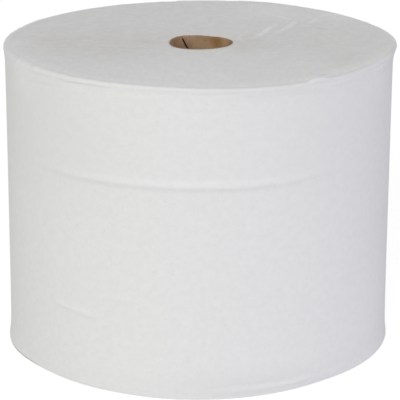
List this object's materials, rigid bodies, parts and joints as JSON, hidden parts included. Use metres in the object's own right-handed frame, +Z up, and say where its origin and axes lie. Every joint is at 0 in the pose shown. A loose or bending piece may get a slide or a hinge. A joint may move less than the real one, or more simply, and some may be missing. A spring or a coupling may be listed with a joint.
{
  "type": "toilet paper roll",
  "caption": "Standing roll of plain white two-ply tissue wound tightly on a small spiral-wound cardboard core.",
  "frame": {"origin": "on the core's axis, in the plane that the roll stands on", "axes": "+Z up along the core's axis; -Y towards the creased front; the loose end of the tissue lies on the far side, near +Y"},
  "size_m": [0.1261, 0.1263, 0.098],
  "materials": {
    "tissue": "matt white crepe tissue",
    "board": "uncoated brown board"
  },
  "bodies": {
    "root": {"paper_roll": "tissue", "cardboard_core": "board"}
  },
  "joints": []
}
